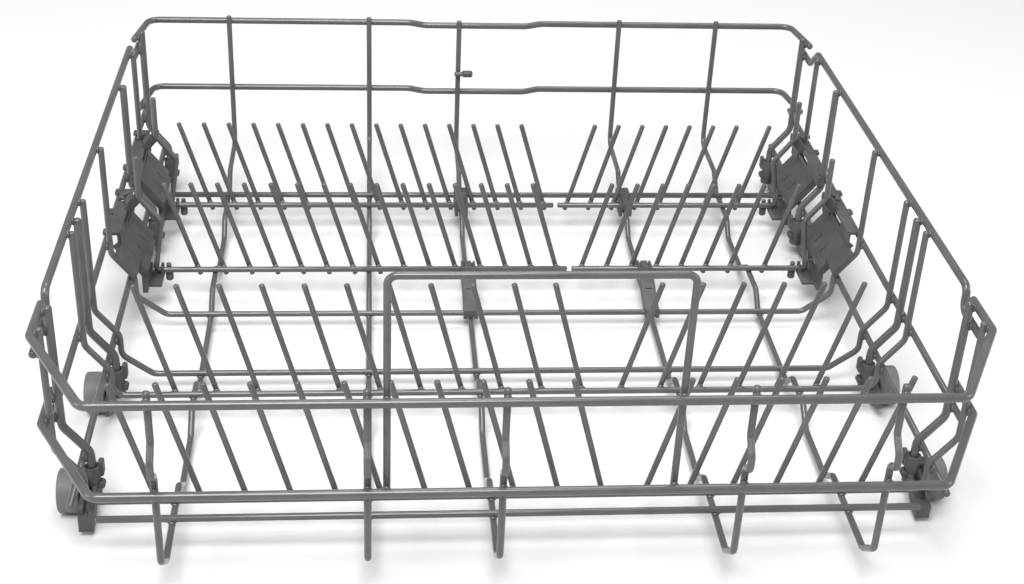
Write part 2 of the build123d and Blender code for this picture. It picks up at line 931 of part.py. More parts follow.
with BuildPart() as cross_wire_tines:
    add(cross_wire(tine_wire_depth, raised_floor))

with BuildPart() as cross_wire_front:
    add(cross_wire(front_wire_depth, raised_floor))

with BuildPart() as posts_rear:
    add(roller_posts(rear_post_depth))

with BuildPart() as posts_mid_rear:
    add(roller_posts(mid_rear_post_depth))

with BuildPart() as posts_mid_front:
    add(roller_posts(mid_front_post_depth))

with BuildPart() as posts_front:
    add(roller_posts(front_post_depth))

with BuildPart() as corner_uprights:
    upright_half = wall_half - wire_d / 2
    add(straight_rod(
        (upright_half, front_y + rear_row_depth + corner_upright_set, corner_upright_foot_z),
        (upright_half, front_y + rear_row_depth + corner_upright_set, post_top_z),
        wire_d,
        tip_chamfer,
    ))
    mirror(about=Plane.YZ)

with BuildPart() as fixed_tines_middle:
    add(fixed_row(tine_wire_depth))

with BuildPart() as fixed_tines_front:
    add(fixed_row(front_wire_depth))

rear_peg_y = front_y + rail_depth - set_in - rim_d / 2 - wire_d - tine_d / 2

with BuildPart() as rear_peg:
    add(cross_bar((rear_peg_start_x, rear_peg_end_x), rear_peg_y, rear_peg_z, tine_d / 2))

with BuildPart() as rear_peg_cap:
    cap_span = (rear_cap_start_x, rear_peg_end_x + rear_cap_floor)
    bore_span = (rear_cap_start_x, rear_peg_end_x)
    add(cross_bar(cap_span, rear_peg_y, rear_peg_z, rear_cap_d / 2))
    chamfer(rear_peg_cap.edges().filter_by(GeomType.CIRCLE).sort_by(Axis.X)[-1], tip_chamfer)
    add(
        cross_bar(bore_span, rear_peg_y, rear_peg_z, tine_d / 2 + cap_clearance),
        mode=Mode.SUBTRACT,
    )

with BuildPart() as rear_row_left:
    add(folding_row(rear_row_depth, -1))

with BuildPart() as rear_row_right:
    add(folding_row(rear_row_depth, 1))

with BuildPart() as middle_row_left:
    add(folding_row(middle_row_depth, -1))

with BuildPart() as middle_row_right:
    add(folding_row(middle_row_depth, 1))

with BuildPart() as rear_cap_left:
    add(stop_cap(rear_row_depth, -1))

with BuildPart() as rear_cap_right:
    add(stop_cap(rear_row_depth, 1))

with BuildPart() as middle_cap_left:
    add(stop_cap(middle_row_depth, -1))

with BuildPart() as middle_cap_right:
    add(stop_cap(middle_row_depth, 1))

with BuildPart() as rear_bracket_right:
    add(side_bracket(rear_row_depth))
    add(post_lug(rear_row_depth, mid_rear_post_depth))

with BuildPart() as rear_bracket_left:
    add(mirror(rear_bracket_right.part, about=Plane.YZ))

with BuildPart() as middle_bracket_right:
    add(side_bracket(middle_row_depth))
    add(ledge(middle_row_depth, rear_wire_depth))

with BuildPart() as middle_bracket_left:
    add(mirror(middle_bracket_right.part, about=Plane.YZ))

with BuildPart() as rear_clip_left:
    add(rear_clip(long_wire_x[2]))

with BuildPart() as rear_clip_right:
    add(rear_clip(long_wire_x[3]))

with BuildPart() as middle_clip_left:
    add(middle_clip(long_wire_x[2]))

with BuildPart() as middle_clip_right:
    add(middle_clip(long_wire_x[3]))

with BuildPart() as holders_rear:
    add(roller_holder(rear_post_depth, False))

with BuildPart() as holders_mid_rear:
    add(roller_holder(mid_rear_post_depth, False))

with BuildPart() as holders_mid_front:
    add(roller_holder(mid_front_post_depth, False))

with BuildPart() as holders_front:
    add(roller_holder(front_post_depth, True))

with BuildPart() as roller_rear_right:
    add(roller(rear_post_depth))

with BuildPart() as roller_mid_rear_right:
    add(roller(mid_rear_post_depth))

with BuildPart() as roller_mid_front_right:
    add(roller(mid_front_post_depth))

with BuildPart() as roller_front_right:
    add(roller(front_post_depth))

with BuildPart() as roller_rear_left:
    add(mirror(roller_rear_right.part, about=Plane.YZ))

with BuildPart() as roller_mid_rear_left:
    add(mirror(roller_mid_rear_right.part, about=Plane.YZ))

with BuildPart() as roller_mid_front_left:
    add(mirror(roller_mid_front_right.part, about=Plane.YZ))

with BuildPart() as roller_front_left:
    add(mirror(roller_front_right.part, about=Plane.YZ))

pieces = {
    "front_top_rail": front_top_rail,
    "front_lower_rail": front_lower_rail,
    "handle_bow": handle_bow,
    "rear_top_rail": rear_top_rail,
    "rear_lower_rail": rear_lower_rail,
    "side_rail_left": side_rail_left,
    "side_rail_right": side_rail_right,
    "mid_rail_right": mid_rail_right,
    "mid_rail_left": mid_rail_left,
    "low_rail_right": low_rail_right,
    "low_rail_left": low_rail_left,
    "long_wire_1": long_wire_1,
    "long_wire_2": long_wire_2,
    "long_wire_3": long_wire_3,
    "long_wire_4": long_wire_4,
    "long_wire_5": long_wire_5,
    "rear_floor_rod": rear_floor_rod,
    "front_floor_rod": front_floor_rod,
    "cross_wire_rear": cross_wire_rear,
    "cross_wire_middle": cross_wire_middle,
    "cross_wire_tines": cross_wire_tines,
    "cross_wire_front": cross_wire_front,
    "posts_rear": posts_rear,
    "posts_mid_rear": posts_mid_rear,
    "posts_mid_front": posts_mid_front,
    "posts_front": posts_front,
    "corner_uprights": corner_uprights,
    "fixed_tines_middle": fixed_tines_middle,
    "fixed_tines_front": fixed_tines_front,
    "rear_peg": rear_peg,
    "rear_peg_cap": rear_peg_cap,
    "rear_row_left": rear_row_left,
    "rear_row_right": rear_row_right,
    "middle_row_left": middle_row_left,
    "middle_row_right": middle_row_right,
    "rear_cap_left": rear_cap_left,
    "rear_cap_right": rear_cap_right,
    "middle_cap_left": middle_cap_left,
    "middle_cap_right": middle_cap_right,
    "rear_bracket_right": rear_bracket_right,
    "rear_bracket_left": rear_bracket_left,
    "middle_bracket_right": middle_bracket_right,
    "middle_bracket_left": middle_bracket_left,
    "rear_clip_left": rear_clip_left,
    "rear_clip_right": rear_clip_right,
    "middle_clip_left": middle_clip_left,
    "middle_clip_right": middle_clip_right,
    "holders_rear": holders_rear,
    "holders_mid_rear": holders_mid_rear,
    "holders_mid_front": holders_mid_front,
    "holders_front": holders_front,
    "roller_rear_right": roller_rear_right,
    "roller_mid_rear_right": roller_mid_rear_right,
    "roller_mid_front_right": roller_mid_front_right,
    "roller_front_right": roller_front_right,
    "roller_rear_left": roller_rear_left,
    "roller_mid_rear_left": roller_mid_rear_left,
    "roller_mid_front_left": roller_mid_front_left,
    "roller_front_left": roller_front_left,
}

for name, piece in pieces.items():
    piece.part.label = name
    export_step(piece.part, f"parts/{name}.step")
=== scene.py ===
from math import ceil, cos, degrees, radians, sin, tan

import bmesh
import bpy
from mathutils import Matrix, Vector


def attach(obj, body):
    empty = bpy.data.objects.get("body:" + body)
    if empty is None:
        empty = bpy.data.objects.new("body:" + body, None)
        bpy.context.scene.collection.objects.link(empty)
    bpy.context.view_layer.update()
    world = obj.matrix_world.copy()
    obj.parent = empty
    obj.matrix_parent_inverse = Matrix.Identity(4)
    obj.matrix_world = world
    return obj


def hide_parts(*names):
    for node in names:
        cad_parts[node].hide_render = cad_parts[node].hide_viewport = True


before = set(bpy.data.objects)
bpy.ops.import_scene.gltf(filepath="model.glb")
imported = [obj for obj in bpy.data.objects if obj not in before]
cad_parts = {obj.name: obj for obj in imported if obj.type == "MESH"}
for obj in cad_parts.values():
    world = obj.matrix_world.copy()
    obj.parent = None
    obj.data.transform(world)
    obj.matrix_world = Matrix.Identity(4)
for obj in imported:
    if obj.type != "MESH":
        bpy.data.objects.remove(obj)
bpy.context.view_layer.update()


# Front rails: two heavy steel wires with cut corners, whose short ends run along the sides.
# Each is bent cold, welded to the uprights behind it and dipped in grey polyamide,
# which leaves a satin skin with faint mottling and a fine orange peel.
mm = 0.001
front_y = -259.3 * mm
heavy = 5.0 * mm
heavy_sides = 18
rim_z = 133.4 * mm
belt_z = 77.0 * mm
wall_half = 256.9 * mm
front_half = 224.1 * mm
corner_depth = 64.0 * mm
side_end_depth = 97.6 * mm
front_bend = 7.0 * mm
side_bend = 6.0 * mm


def skin_group():
    """The shared skin effect: soft patches, fine specks and a pebbled height."""
    group = bpy.data.node_groups.new("moulded_skin", "ShaderNodeTree")
    face = group.interface
    patch = face.new_socket("Patch size", in_out="INPUT", socket_type="NodeSocketFloat")
    patch.default_value = 60.0
    speck = face.new_socket("Speck size", in_out="INPUT", socket_type="NodeSocketFloat")
    speck.default_value = 900.0
    low = face.new_socket("Dark", in_out="INPUT", socket_type="NodeSocketColor")
    low.default_value = (0.1, 0.1, 0.1, 1)
    high = face.new_socket("Light", in_out="INPUT", socket_type="NodeSocketColor")
    high.default_value = (0.2, 0.2, 0.2, 1)
    smooth = face.new_socket("Smoothest", in_out="INPUT", socket_type="NodeSocketFloat")
    smooth.default_value = 0.35
    rough = face.new_socket("Roughest", in_out="INPUT", socket_type="NodeSocketFloat")
    rough.default_value = 0.55
    face.new_socket("Color", in_out="OUTPUT", socket_type="NodeSocketColor")
    face.new_socket("Roughness", in_out="OUTPUT", socket_type="NodeSocketFloat")
    face.new_socket("Height", in_out="OUTPUT", socket_type="NodeSocketFloat")
    node, link = group.nodes.new, group.links.new
    patch_share = 0.65
    noise_low, noise_high = 0.36, 0.64
    given = node("NodeGroupInput")
    result = node("NodeGroupOutput")
    place = node("ShaderNodeTexCoord")
    patches = node("ShaderNodeTexNoise")
    patches.inputs["Detail"].default_value = 3.0
    link(place.outputs["Object"], patches.inputs["Vector"])
    link(given.outputs["Patch size"], patches.inputs["Scale"])
    specks = node("ShaderNodeTexNoise")
    specks.inputs["Detail"].default_value = 2.0
    link(place.outputs["Object"], specks.inputs["Vector"])
    link(given.outputs["Speck size"], specks.inputs["Scale"])
    both = node("ShaderNodeMath")
    both.operation = "MULTIPLY_ADD"
    both.inputs[1].default_value = patch_share
    link(patches.outputs["Fac"], both.inputs[0])
    fine = node("ShaderNodeMath")
    fine.operation = "MULTIPLY"
    fine.inputs[1].default_value = 1 - patch_share
    link(specks.outputs["Fac"], fine.inputs[0])
    link(fine.outputs[0], both.inputs[2])
    spread = node("ShaderNodeMapRange")
    spread.inputs["From Min"].default_value = noise_low
    spread.inputs["From Max"].default_value = noise_high
    link(both.outputs[0], spread.inputs["Value"])
    tint = node("ShaderNodeMix")
    tint.data_type = "RGBA"
    link(spread.outputs[0], tint.inputs["Factor"])
    link(given.outputs["Dark"], tint.inputs["A"])
    link(given.outputs["Light"], tint.inputs["B"])
    link(tint.outputs["Result"], result.inputs["Color"])
    gloss = node("ShaderNodeMapRange")
    link(patches.outputs["Fac"], gloss.inputs["Value"])
    link(given.outputs["Smoothest"], gloss.inputs["To Min"])
    link(given.outputs["Roughest"], gloss.inputs["To Max"])
    link(gloss.outputs[0], result.inputs["Roughness"])
    link(specks.outputs["Fac"], result.inputs["Height"])
    return group


moulded_skin = skin_group()


def skin_finish(name, dark, light, gloss, patch, speck, pebble):
    """A finish on the shared skin: two tones, a roughness span, noise scales and a pebble depth."""
    finish = bpy.data.materials.new(name)
    finish.use_nodes = True
    node, link = finish.node_tree.nodes.new, finish.node_tree.links.new
    shader = finish.node_tree.nodes["Principled BSDF"]
    skin = node("ShaderNodeGroup")
    skin.node_tree = moulded_skin
    skin.inputs["Patch size"].default_value = patch
    skin.inputs["Speck size"].default_value = speck
    skin.inputs["Dark"].default_value = (*dark, 1)
    skin.inputs["Light"].default_value = (*light, 1)
    skin.inputs["Smoothest"].default_value = gloss[0]
    skin.inputs["Roughest"].default_value = gloss[1]
    link(skin.outputs["Color"], shader.inputs["Base Color"])
    link(skin.outputs["Roughness"], shader.inputs["Roughness"])
    pebbles = node("ShaderNodeBump")
    pebbles.inputs["Strength"].default_value = 0.5
    pebbles.inputs["Distance"].default_value = pebble
    link(skin.outputs["Height"], pebbles.inputs["Height"])
    link(pebbles.outputs["Normal"], shader.inputs["Normal"])
    return finish


wire_coat = skin_finish(
    "coated_wire",
    dark=(0.076, 0.076, 0.081),
    light=(0.098, 0.098, 0.103),
    gloss=(0.15, 0.23),
    patch=55,
    speck=1400,
    pebble=0.006 * mm,
)


def ring_edges(ring):
    """The edges that join the vertices of a ring."""
    inside = set(ring)
    edges = (e for v in ring for e in v.link_edges if inside.issuperset(e.verts))
    return list(dict.fromkeys(edges))


def push_ring(bm, ring, way):
    """Extrudes a ring of the wire along a straight run."""
    new = bmesh.ops.extrude_edge_only(bm, edges=ring_edges(ring))["geom"]
    ring = [g for g in new if isinstance(g, bmesh.types.BMVert)]
    bmesh.ops.translate(bm, verts=ring, vec=way)
    return ring


def round_end(bm, ring, way, depth):
    """Closes a wire's end with a low dome, as the dipped coat leaves it."""
    dome_angles = (25, 50, 72)
    was = 0.0
    for angle in dome_angles:
        now = radians(angle)
        ring = push_ring(bm, ring, way * depth * (sin(now) - sin(was)))
        middle = sum((v.co for v in ring), Vector()) / len(ring)
        shrink = cos(now) / cos(was)
        bmesh.ops.scale(bm, verts=ring, vec=(shrink, shrink, shrink), space=Matrix.Translation(-middle))
        was = now
    bmesh.ops.edgeloop_fill(bm, edges=ring_edges(ring))


def draw_wire(bm, corners, diameter, bend=6.0 * mm, sides=14):
    """Draws one wire through its corners: runs are extruded, bends are spun, ends are domed."""
    points = [Vector(p) for p in corners]
    radii = bend if isinstance(bend, list) else [bend] * (len(points) - 2)
    dome_depth = 0.28 * diameter
    degrees_per_step = 13
    first_way = (points[1] - points[0]).normalized()
    last_way = (points[-1] - points[-2]).normalized()
    points[0] = points[0] + first_way * dome_depth
    points[-1] = points[-1] - last_way * dome_depth
    turn = first_way.to_track_quat("Z", "Y").to_matrix().to_4x4()
    ring = bmesh.ops.create_circle(
        bm, segments=sides, radius=diameter / 2, matrix=Matrix.Translation(points[0]) @ turn
    )["verts"]
    round_end(bm, ring, -first_way, dome_depth)
    here = points[0]
    for k in range(1, len(points)):
        way = (points[k] - points[k - 1]).normalized()
        if k == len(points) - 1:
            ring = push_ring(bm, ring, points[k] - here)
            break
        onward = (points[k + 1] - points[k]).normalized()
        angle = way.angle(onward)
        setback = radii[k - 1] * tan(angle / 2)
        bend_start = points[k] - way * setback
        ring = push_ring(bm, ring, bend_start - here)
        axis = way.cross(onward).normalized()
        spun = bmesh.ops.spin(
            bm,
            geom=ring + ring_edges(ring),
            cent=bend_start + axis.cross(way) * radii[k - 1],
            axis=axis,
            angle=angle,
            steps=max(2, ceil(degrees(angle) / degrees_per_step)),
            use_merge=False,
            use_duplicate=False,
        )["geom_last"]
        ring = [g for g in spun if isinstance(g, bmesh.types.BMVert)]
        here = points[k] + onward * setback
    round_end(bm, ring, last_way, dome_depth)


def finish_piece(bm, name, finish, slot, body, *nodes):
    """Turns the mesh into a smooth piece that rides on a body and stands for its CAD nodes."""
    bmesh.ops.recalc_face_normals(bm, faces=bm.faces[:])
    mesh = bpy.data.meshes.new(name)
    bm.to_mesh(mesh)
    bm.free()
    mesh.shade_smooth()
    mesh.materials.append(finish)
    piece = bpy.data.objects.new(name, mesh)
    bpy.context.scene.collection.objects.link(piece)
    if nodes:
        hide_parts(*nodes)
    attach(piece, body)
    return piece


side_run_half = wall_half + heavy / 2
for node, z in (("front_top_rail", rim_z), ("front_lower_rail", belt_z)):
    right = [
        (front_half, front_y, z),
        (side_run_half, front_y + corner_depth, z),
        (side_run_half, front_y + side_end_depth, z),
    ]
    left = [(-x, y, height) for x, y, height in reversed(right)]
    bm = bmesh.new()
    draw_wire(bm, left + right, heavy, [side_bend, front_bend, front_bend, side_bend], heavy_sides)
    finish_piece(bm, "wire_" + node, wire_coat, "coated_wire", "frame", node)


# Handle bow: an inverted U of slightly thinner wire, welded behind both front rails.
# It is the grip by which the loaded basket is drawn out.
handle = 4.0 * mm
handle_x = 1.4 * mm
handle_half = 75.2 * mm
handle_ends = (handle_x - handle_half, handle_x + handle_half)
handle_y = front_y + (heavy + handle) / 2
handle_top_z = 204.5 * mm
handle_foot_z = belt_z - 3.5 * mm
handle_bend = 5.0 * mm
bm = bmesh.new()
draw_wire(
    bm,
    [
        (handle_ends[0], handle_y, handle_foot_z),
        (handle_ends[0], handle_y, handle_top_z),
        (handle_ends[1], handle_y, handle_top_z),
        (handle_ends[1], handle_y, handle_foot_z),
    ],
    handle,
    handle_bend,
    heavy_sides,
)
finish_piece(bm, "wire_handle_bow", wire_coat, "coated_wire", "frame", "handle_bow")


# Rear rails: two medium wires with a shallow set-in at the middle and a leg at each end,
# which splays past the rear post. They are welded outside the long wires.
rim = 4.8 * mm
rim_half = wall_half + rim / 2
rear_y = front_y + 522.0 * mm
set_in = 5.5 * mm
set_in_half = 40.0 * mm
set_in_end = 52.0 * mm
rear_half = 253.5 * mm
leg_x = 260.095 * mm
leg_length = 43.0 * mm
leg_bend = 9.0 * mm
rear_bend = 12.0 * mm
rear_rim_z = 131.5 * mm
rear_belt_z = 75.5 * mm
for node, z in (("rear_top_rail", rear_rim_z), ("rear_lower_rail", rear_belt_z)):
    right = [
        (set_in_half, rear_y - set_in, z),
        (set_in_end, rear_y, z),
        (rear_half, rear_y, z),
        (leg_x, rear_y - leg_length, z),
    ]
    left = [(-x, y, height) for x, y, height in reversed(right)]
    bm = bmesh.new()
    draw_wire(bm, left + right, rim, [leg_bend] + [rear_bend] * 4 + [leg_bend], heavy_sides)
    finish_piece(bm, "wire_" + node, wire_coat, "coated_wire", "frame", node)


# Side rails: one wire along the top of each wall, joggled down at the front and the rear
# so that its ends pass under the rails of the front and the back. It is welded to the uprights.
side_z = 135.5 * mm
joggle_z = 121.0 * mm
side_steps = [
    (64.0 * mm, joggle_z),
    (106.5 * mm, joggle_z),
    (106.5 * mm, side_z),
    (454.0 * mm, side_z),
    (471.0 * mm, joggle_z),
    (498.0 * mm, joggle_z),
]
for node, side in (("side_rail_left", -1), ("side_rail_right", 1)):
    bm = bmesh.new()
    run = [(side * rim_half, front_y + depth, z) for depth, z in side_steps]
    draw_wire(bm, run, rim, side_bend, heavy_sides)
    finish_piece(bm, "wire_" + node, wire_coat, "coated_wire", "frame", node)


# Mid and low rails: straight wires along the outside of each wall, above and below its step.
# They tie the uprights together and carry the brackets.
rail = 4.2 * mm
rail_half = wall_half + rail / 2
low_half = wall_half - 14.1 * mm
mid_z = 64.0 * mm
low_z = 36.0 * mm
mid_start, mid_end = 71.5 * mm, 510.0 * mm
low_start, low_end = 42.5 * mm, 501.0 * mm
for node, x, start, end, z in (
    ("mid_rail_left", -rail_half, mid_start, mid_end, mid_z),
    ("mid_rail_right", rail_half, mid_start, mid_end, mid_z),
    ("low_rail_left", -low_half - rail / 2, low_start, low_end, low_z),
    ("low_rail_right", low_half + rail / 2, low_start, low_end, low_z),
):
    bm = bmesh.new()
    draw_wire(bm, [(x, front_y + start, z), (x, front_y + end, z)], rail)
    finish_piece(bm, "wire_" + node, wire_coat, "coated_wire", "frame", node)


# Long wires: five thin wires that form the front face, the floor and the rear wall.
# Their floor rises in humps that carry the cross wires and the folding rows' rods.
thin = 4.0 * mm
long_x = [-192.0 * mm, -83.7 * mm, -13.3 * mm, 114.0 * mm, 192.0 * mm]
hump_z = 17.8 * mm
floor_z = 6.8 * mm
wall_top_z = 137.3 * mm
sill_z = 29.5 * mm
face_depth = 4.5 * mm
bulge_depth = -3.8 * mm
rear_depth = rear_y - front_y - (rim + thin) / 2
long_bend = 5.0 * mm
rear_floor_bend = 10.0 * mm
front_face = [
    (face_depth, 139.0 * mm),
    (face_depth, 108.0 * mm),
    (bulge_depth, 100.0 * mm),
    (bulge_depth, 91.5 * mm),
    (face_depth, 87.5 * mm),
    (face_depth, 30.5 * mm),
    (20.0 * mm, hump_z),
]
hollows = [(85.0, 100.0, 146.0, 160.0), (188.0, 201.0, 288.0, 302.0), (333.0, 352.0, 396.0, 408.0)]
for number, x in enumerate(long_x, 1):
    rear = rear_depth - set_in if abs(x) < set_in_half else rear_depth
    steps = list(front_face)
    for fall, bottom_start, bottom_end, rise in hollows:
        steps += [(fall * mm, hump_z), (bottom_start * mm, floor_z)]
        steps += [(bottom_end * mm, floor_z), (rise * mm, hump_z)]
    steps += [(452.0 * mm, hump_z), (466.0 * mm, sill_z), (rear, sill_z), (rear, wall_top_z)]
    bends = [long_bend] * (len(steps) - 3) + [rear_floor_bend]
    bm = bmesh.new()
    draw_wire(bm, [(x, front_y + depth, z) for depth, z in steps], thin, bends)
    node = f"long_wire_{number}"
    finish_piece(bm, "wire_" + node, wire_coat, "coated_wire", "frame", node)


# Floor rods: two straight wires laid across the humps at the front and the rear,
# with free rounded ends short of the walls.
rod_z = hump_z + (thin + rail) / 2
rod_depths = {"rear_floor_rod": 438.7 * mm, "front_floor_rod": 50.4 * mm}
rod_halves = {"rear_floor_rod": 235.5 * mm, "front_floor_rod": 233.8 * mm}
for node, depth in rod_depths.items():
    y, half = front_y + depth, rod_halves[node]
    bm = bmesh.new()
    draw_wire(bm, [(-half, y, rod_z), (half, y, rod_z)], rail)
    finish_piece(bm, "wire_" + node, wire_coat, "coated_wire", "frame", node)


# Cross wires: four thin wires that form both walls, with their step, and the floor.
# Two drop to the long wires' low runs and two lie on the humps.
step_top = 58.5 * mm
step_low = 40.5 * mm
knee_z = 25.5 * mm
drop_half = 221.5 * mm
wall_bend = 8.0 * mm
raised_z = hump_z + thin
dropped_z = floor_z + thin
dropped_depths = {"cross_wire_rear": 282.6 * mm, "cross_wire_middle": 210.3 * mm}
raised_depths = {"cross_wire_tines": 170.4 * mm, "cross_wire_front": 66.5 * mm}
for node, depth in (dropped_depths | raised_depths).items():
    y = front_y + depth
    upper_x = wall_half - thin / 2
    lower_x = low_half - thin / 2
    right = [(upper_x, y, wall_top_z), (upper_x, y, step_top), (lower_x, y, step_low)]
    if node in dropped_depths:
        right += [(lower_x, y, knee_z), (drop_half, y, dropped_z)]
    else:
        right += [(lower_x, y, raised_z)]
    left = [(-x, y, z) for x, y, z in right]
    bm = bmesh.new()
    draw_wire(bm, left + right[::-1], thin, wall_bend)
    finish_piece(bm, "wire_" + node, wire_coat, "coated_wire", "frame", node)


# Roller posts: heavy wires down each wall with the same step, whose feet plug into
# the roller holders. Two short thin uprights stand beside the rear corners.
post_depths = {"rear": 483.6 * mm, "mid_rear": 381.9 * mm, "mid_front": 186.6 * mm, "front": 88.1 * mm}
post_foot_z = 16.0 * mm
upper_x = wall_half - heavy / 2
lower_x = low_half - heavy / 2
profile = [(upper_x, wall_top_z), (upper_x, step_top), (lower_x, step_low), (lower_x, post_foot_z)]
for place, depth in post_depths.items():
    bm = bmesh.new()
    for side in (-1, 1):
        run = [(side * x, front_y + depth, z) for x, z in profile]
        draw_wire(bm, run, heavy, wall_bend, heavy_sides)
    finish_piece(bm, "wire_posts_" + place, wire_coat, "coated_wire", "frame", "posts_" + place)

bm = bmesh.new()
upright_depth = 439.7 * mm
upright_y = front_y + upright_depth
upright_foot_z = 60.0 * mm
for side in (-1, 1):
    x = side * (wall_half - thin / 2)
    draw_wire(bm, [(x, upright_y, upright_foot_z), (x, upright_y, wall_top_z)], thin)
finish_piece(bm, "wire_corner_uprights", wire_coat, "coated_wire", "frame", "corner_uprights")


# Fixed tines: two rows of thin rods welded behind the raised cross wires.
# The left group leans to the left and the right group to the right.
tine = 3.6 * mm
tine_sides = 12
weld_offset = (thin + tine) / 2
fixed_x = [(-203.2 + 25.4 * k) * mm for k in range(17)]
left_count = 11
fixed_lean = 15.0
fixed_tip_z = 99.0 * mm
fixed_rows = {
    "fixed_tines_middle": raised_depths["cross_wire_tines"],
    "fixed_tines_front": raised_depths["cross_wire_front"],
}


def draw_tine(bm, base_x, base_z, y, foot_z, tip_z, lean):
    """Draws one leaning tine from its foot below the weld to its rounded tip."""
    slope = tan(radians(lean))
    low = (base_x - slope * (base_z - foot_z), y, foot_z)
    high = (base_x + slope * (tip_z - base_z), y, tip_z)
    draw_wire(bm, [low, high], tine, sides=tine_sides)


for node, depth in fixed_rows.items():
    y = front_y + depth + weld_offset
    bm = bmesh.new()
    for number, x in enumerate(fixed_x):
        lean = -fixed_lean if number < left_count else fixed_lean
        draw_tine(bm, x, raised_z, y, raised_z - tine / 2, fixed_tip_z, lean)
    finish_piece(bm, "wire_" + node, wire_coat, "coated_wire", "frame", node)


# Rear peg: a short rod welded across the middle long wire, with a soft cap that
# keeps the basket off the tub's rear wall.
cap_plastic = skin_finish(
    "cap_plastic",
    dark=(0.055, 0.055, 0.060),
    light=(0.080, 0.080, 0.086),
    gloss=(0.50, 0.65),
    patch=120,
    speck=2200,
    pebble=0.04 * mm,
)
peg_y = rear_y - set_in - rim / 2 - thin - tine / 2
peg_z = 94.0 * mm
peg_start, peg_end = -16.5 * mm, -3.0 * mm
cap_start, cap_end = -10.6 * mm, -1.8 * mm
cap_size = 5.4 * mm
bm = bmesh.new()
draw_wire(bm, [(peg_start, peg_y, peg_z), (peg_end, peg_y, peg_z)], tine, sides=tine_sides)
finish_piece(bm, "wire_rear_peg", wire_coat, "coated_wire", "frame", "rear_peg")
bm = bmesh.new()
draw_wire(bm, [(cap_start, peg_y, peg_z), (cap_end, peg_y, peg_z)], cap_size, sides=heavy_sides)
finish_piece(bm, "cap_rear_peg", cap_plastic, "cap_plastic", "frame", "rear_peg_cap")


# Folding rows: a thin rod bent up at its outer end into an arm with a finger lever,
# with leaning tines and a stop peg welded behind it. A plastic cap covers the peg's foot.
row_gap = 0.35 * mm
row_z = raised_z + row_gap
row_pitch = 18.15
left_bases = [(-204.0 + row_pitch * k) * mm for k in range(15)]
right_bases = [(68.9 + row_pitch * k) * mm for k in range(7)] + [203.2 * mm]
rear_row_depth, middle_row_depth = 421.4 * mm, 323.9 * mm
rows = (
    ("rear_row_left", rear_row_depth, -1, left_bases),
    ("rear_row_right", rear_row_depth, 1, right_bases),
    ("middle_row_left", middle_row_depth, -1, left_bases),
    ("middle_row_right", middle_row_depth, 1, right_bases),
)
row_tip_z = 88.7 * mm
row_foot_z = row_z - 6.0 * mm
arm_bend_z = 60.8 * mm
lever_foot_z = 79.0 * mm
lever_top_z = 110.5 * mm
foot_bend = 2.8 * mm
arm_bend = 5.0 * mm
cheek_set = 5.6 * mm
lever_gap = 0.4 * mm
foot_set_in = 7.6 * mm
arm_set_in = 13.7 * mm
for node, depth, side, bases in rows:
    y = front_y + depth
    bm = bmesh.new()
    lever_x = side * (low_half - thin / 2 - lever_gap)
    foot_x = lever_x - side * foot_set_in
    bend_x = lever_x - side * arm_set_in
    inner_x, lean = (58.2 * mm, -16.6) if side < 0 else (61.0 * mm, 15.0)
    draw_wire(
        bm,
        [
            (inner_x, y, row_z),
            (foot_x, y, row_z),
            (bend_x, y, arm_bend_z),
            (lever_x, y, lever_foot_z),
            (lever_x, y, lever_top_z),
        ],
        thin,
        [foot_bend, arm_bend, arm_bend],
    )
    for base in bases:
        draw_tine(bm, base, row_z, y + weld_offset, row_foot_z, row_tip_z, lean)
    stop_x = foot_x - side * (cheek_set + cap_size / 2 + row_gap)
    stop_y = y + weld_offset
    stop_low, stop_high = row_z - 10.0 * mm, row_z + 3.5 * mm
    draw_wire(bm, [(stop_x, stop_y, stop_low), (stop_x, stop_y, stop_high)], tine, sides=tine_sides)
    finish_piece(bm, "wire_" + node, wire_coat, "coated_wire", node, node)
    bm = bmesh.new()
    cap_foot, cap_top = row_z - 10.5 * mm, row_z - 2.5 * mm
    draw_wire(bm, [(stop_x, stop_y, cap_foot), (stop_x, stop_y, cap_top)], cap_size, sides=heavy_sides)
    cap = node.replace("row", "cap")
    finish_piece(bm, "cap_" + cap, cap_plastic, "cap_plastic", node, cap)


# Weld fillets: the dip coat gathers in the nook of every welded crossing.
# Each is a small bead of the same coat, flattened between the two wires.
def add_fillet(bm, place, normal):
    """Adds one bead at a touching point, flat along the line between the wires."""
    turn = Vector(normal).to_track_quat("Z", "Y").to_matrix().to_4x4()
    bead_half, bead_thick = 2.7 * mm, 1.2 * mm
    shape = Matrix.Diagonal((bead_half, bead_half, bead_thick, 1))
    bmesh.ops.create_uvsphere(
        bm, u_segments=14, v_segments=8, radius=1.0, matrix=Matrix.Translation(place) @ turn @ shape
    )


